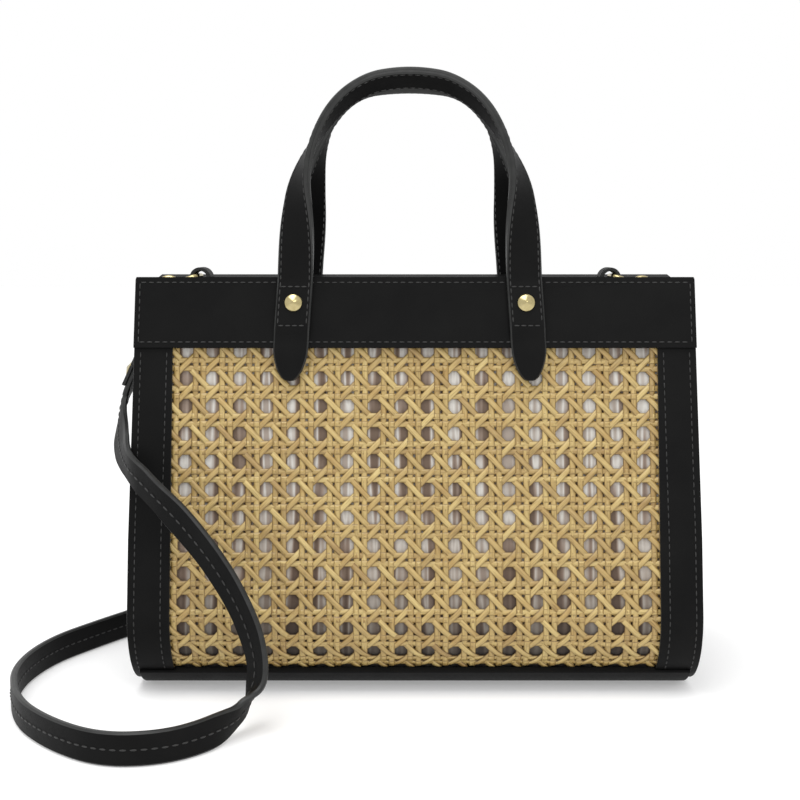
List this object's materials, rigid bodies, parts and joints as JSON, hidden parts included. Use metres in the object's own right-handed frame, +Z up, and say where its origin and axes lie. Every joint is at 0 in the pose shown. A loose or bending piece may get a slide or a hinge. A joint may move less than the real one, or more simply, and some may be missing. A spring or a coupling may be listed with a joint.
{
  "type": "tote bag",
  "caption": "Structured tote bag with a woven cane front in a leather frame, folded side gussets, riveted top handles and a flat shoulder strap held by snap clips on rings.",
  "frame": {"origin": "bottom centre of the bag's base, where it stands", "axes": "+Z up, -Y out of the cane front, X across the bag's width"},
  "size_m": [0.3366, 0.2283, 0.2944],
  "materials": {
    "cane": "natural satin cane",
    "black_leather": "smooth matt with painted edges",
    "brass": "polished",
    "lining": "striped woven cloth",
    "board": "plain stiffening board"
  },
  "bodies": {
    "bag": {"front_cane_panel": "cane", "front_left_strip": "black_leather", "front_right_strip": "black_leather", "front_top_band": "black_leather", "back_panel": "black_leather", "back_top_band": "black_leather", "base_panel": "black_leather", "left_gusset": "black_leather", "right_gusset": "black_leather", "front_handle": "black_leather", "front_handle_lining": "black_leather", "back_handle": "black_leather", "back_handle_lining": "black_leather", "left_ring_tab": "black_leather", "right_ring_tab": "black_leather", "left_strap_end": "black_leather", "right_strap_end": "black_leather", "shoulder_strap": "black_leather", "front_left_stud": "brass", "front_left_stud_back": "brass", "front_right_stud": "brass", "front_right_stud_back": "brass", "back_left_stud": "brass", "back_left_stud_back": "brass", "back_right_stud": "brass", "back_right_stud_back": "brass", "left_eye": "brass", "left_strap_stud": "brass", "left_strap_stud_back": "brass", "right_eye": "brass", "right_strap_stud": "brass", "right_strap_stud_back": "brass", "back_board": "board", "base_board": "board", "lining": "lining"},
    "left_ring": {"left_ring": "brass"},
    "left_hook": {"left_hook": "brass"},
    "left_bolt": {"left_bolt": "brass"},
    "right_ring": {"right_ring": "brass"},
    "right_hook": {"right_hook": "brass"},
    "right_bolt": {"right_bolt": "brass"}
  },
  "joints": [
    {"name": "left_ring_hinge", "type": "hinge", "parent": "bag", "child": "left_ring", "pos_m": [-0.10729, 0, 0.19712], "axis": [0, -1, 0], "range_deg": [0, 8]},
    {"name": "left_hook_swivel", "type": "hinge", "parent": "bag", "child": "left_hook", "pos_m": [-0.12776, 0, 0.17456], "axis": [0.4226, 0, 0.9063], "range_deg": [-25, 25]},
    {"name": "left_bolt_slide", "type": "slide", "parent": "left_hook", "child": "left_bolt", "axis": [-0.4226, 0, -0.9063], "range_m": [0, 0.0042], "stiffness_N_per_m": 200, "springref_m": -0.002},
    {"name": "right_ring_hinge", "type": "hinge", "parent": "bag", "child": "right_ring", "pos_m": [0.09784, 0, 0.19701], "axis": [0, 1, 0], "range_deg": [0, 8]},
    {"name": "right_hook_swivel", "type": "hinge", "parent": "bag", "child": "right_hook", "pos_m": [0.11831, 0, 0.17446], "axis": [-0.4226, 0, 0.9063], "range_deg": [-25, 25]},
    {"name": "right_bolt_slide", "type": "slide", "parent": "right_hook", "child": "right_bolt", "axis": [0.4226, 0, -0.9063], "range_m": [0, 0.0042], "stiffness_N_per_m": 200, "springref_m": -0.002}
  ]
}
